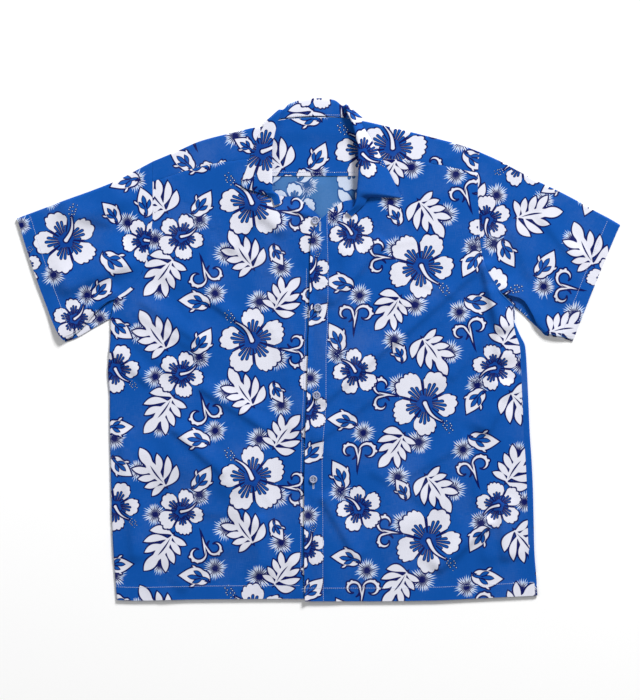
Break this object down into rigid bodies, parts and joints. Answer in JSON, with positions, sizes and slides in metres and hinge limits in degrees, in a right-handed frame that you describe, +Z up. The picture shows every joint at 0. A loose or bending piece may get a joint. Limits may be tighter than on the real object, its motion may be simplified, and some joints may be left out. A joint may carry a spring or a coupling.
{
  "type": "hawaiian shirt",
  "caption": "Short-sleeved Hawaiian shirt with a camp collar, laid flat and buttoned up to an open neck, in a blue and white hibiscus print.",
  "frame": {"origin": "centre of the bounding box, on the ground plane that the back lies on", "axes": "+X across the shirt towards the wearer's left sleeve, +Y from the hem to the collar, +Z up out of the fronts"},
  "size_m": [0.9353, 0.7798, 0.0188],
  "materials": {
    "cloth": "soft woven rayon, printed in blue, white and navy",
    "button": "translucent grey, with a soft gloss"
  },
  "bodies": {
    "root": {"back": "cloth", "front_right": "cloth", "front_left": "cloth", "placket": "cloth", "yoke": "cloth", "yoke_inner": "cloth", "sleeve_right": "cloth", "sleeve_left": "cloth", "collar": "cloth", "button_1": "button", "button_2": "button", "button_3": "button", "button_4": "button"}
  },
  "joints": []
}
